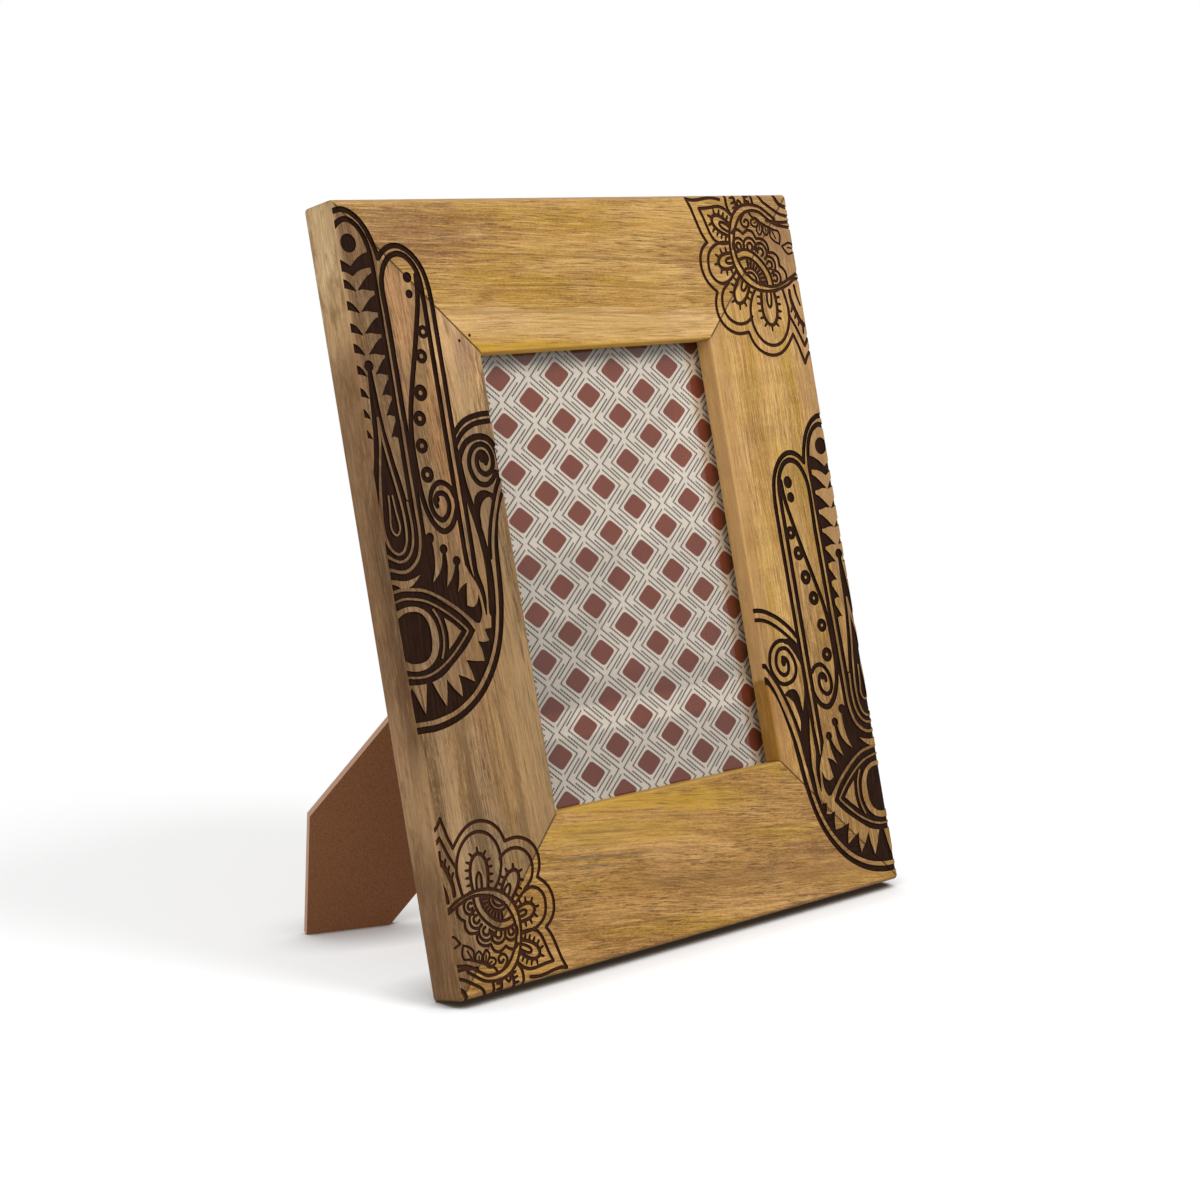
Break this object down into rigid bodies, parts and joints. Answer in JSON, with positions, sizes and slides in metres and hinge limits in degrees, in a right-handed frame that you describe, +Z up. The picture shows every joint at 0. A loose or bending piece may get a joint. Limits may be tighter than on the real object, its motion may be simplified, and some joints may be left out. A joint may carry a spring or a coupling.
{
  "type": "picture frame",
  "caption": "Carved mango-wood picture frame with a mitred, rebated moulding, glass and backing, standing on a diagonal easel strut.",
  "frame": {"origin": "on the table, at the middle of the standing frame's footprint", "axes": "+Z up, +Y away from the viewer, +X to the viewer's right; the frame stands leaning back on its strut"},
  "size_m": [0.236, 0.1186, 0.2825],
  "materials": {
    "mango_wood": "waxed",
    "glass": "clear",
    "print": "matt printed",
    "card": "matt",
    "mdf": "raw fibreboard",
    "steel": "zinc plated",
    "brass": "brass plated"
  },
  "bodies": {
    "frame": {"top_rail": "mango_wood", "bottom_rail": "mango_wood", "left_stile": "mango_wood", "right_stile": "mango_wood", "mitre_nails": "steel", "glass_pane": "glass", "picture_sheet": "print", "filler_card": "card", "backing_board": "mdf", "turn_button_screws": "steel", "hinge_fixed_leaf": "brass", "hinge_pin": "steel", "board_rivets": "brass"},
    "strut": {"strut_board": "mdf", "hinge_strut_leaf": "brass", "strut_rivets": "brass"},
    "button_left": {"turn_button_left": "brass"},
    "button_right": {"turn_button_right": "brass"},
    "button_top": {"turn_button_top": "brass"},
    "button_bottom": {"turn_button_bottom": "brass"}
  },
  "joints": [
    {"name": "strut_hinge", "type": "hinge", "parent": "frame", "child": "strut", "pos_m": [0, -0.00961, 0.13901], "axis": [0.7722, -0.1429, -0.6191], "range_deg": [-32, 0]},
    {"name": "turn_button_left_pivot", "type": "hinge", "parent": "frame", "child": "button_left", "pos_m": [-0.0725, -0.01185, 0.13953], "axis": [0, 0.9744, -0.225], "continuous": true},
    {"name": "turn_button_right_pivot", "type": "hinge", "parent": "frame", "child": "button_right", "pos_m": [0.0725, -0.01185, 0.13953], "axis": [0, 0.9744, -0.225], "continuous": true},
    {"name": "turn_button_top_pivot", "type": "hinge", "parent": "frame", "child": "button_top", "pos_m": [0, 0.01017, 0.23492], "axis": [0, 0.9744, -0.225], "continuous": true},
    {"name": "turn_button_bottom_pivot", "type": "hinge", "parent": "frame", "child": "button_bottom", "pos_m": [0, -0.03388, 0.04414], "axis": [0, 0.9744, -0.225], "continuous": true}
  ]
}
